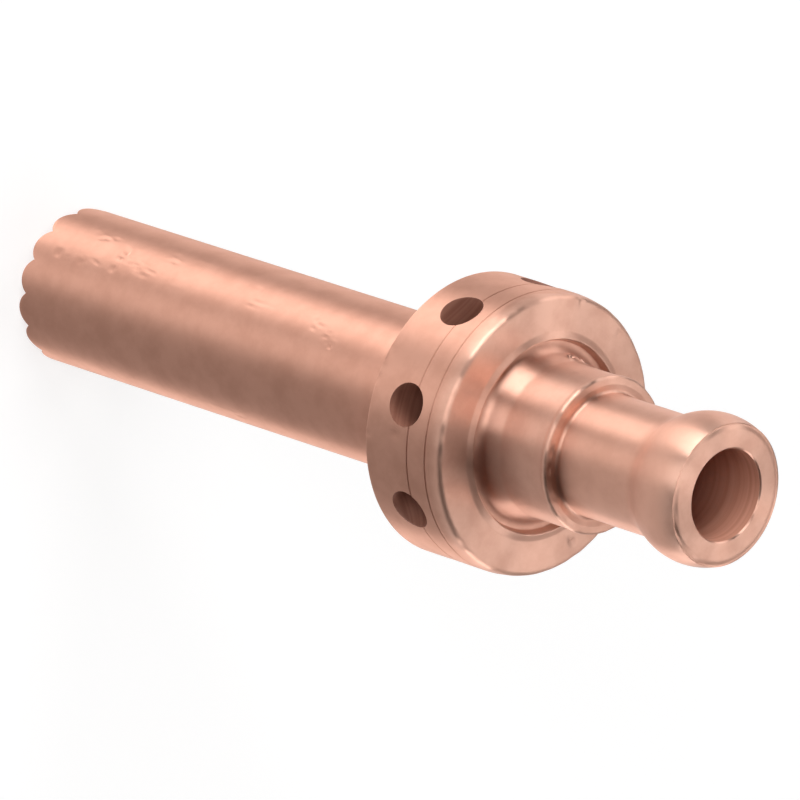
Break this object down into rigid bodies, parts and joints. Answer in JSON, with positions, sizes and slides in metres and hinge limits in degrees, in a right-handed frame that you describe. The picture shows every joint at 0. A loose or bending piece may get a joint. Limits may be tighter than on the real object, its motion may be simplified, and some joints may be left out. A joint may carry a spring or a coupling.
{
  "type": "plasma torch electrode",
  "caption": "Turned copper electrode for an air plasma cutting torch, with a serrated front end, a drilled gas flange and a hollow beaded rear stem.",
  "frame": {"origin": "on the turning axis, in the plane of the tooth tips at the serrated front end, on which the electrode stands", "axes": "+Z along the turning axis, from the serrated front end to the beaded rear end; +X through the middle of one gas hole and one tooth; +Y completes the right-handed frame"},
  "size_m": [0.0114, 0.0114, 0.0374],
  "materials": {
    "turned_copper": "bright turned copper with a satin sheen",
    "hafnium": "dull ground metal"
  },
  "bodies": {
    "root": {"electrode_body": "turned_copper", "emitter_insert": "hafnium"}
  },
  "joints": []
}
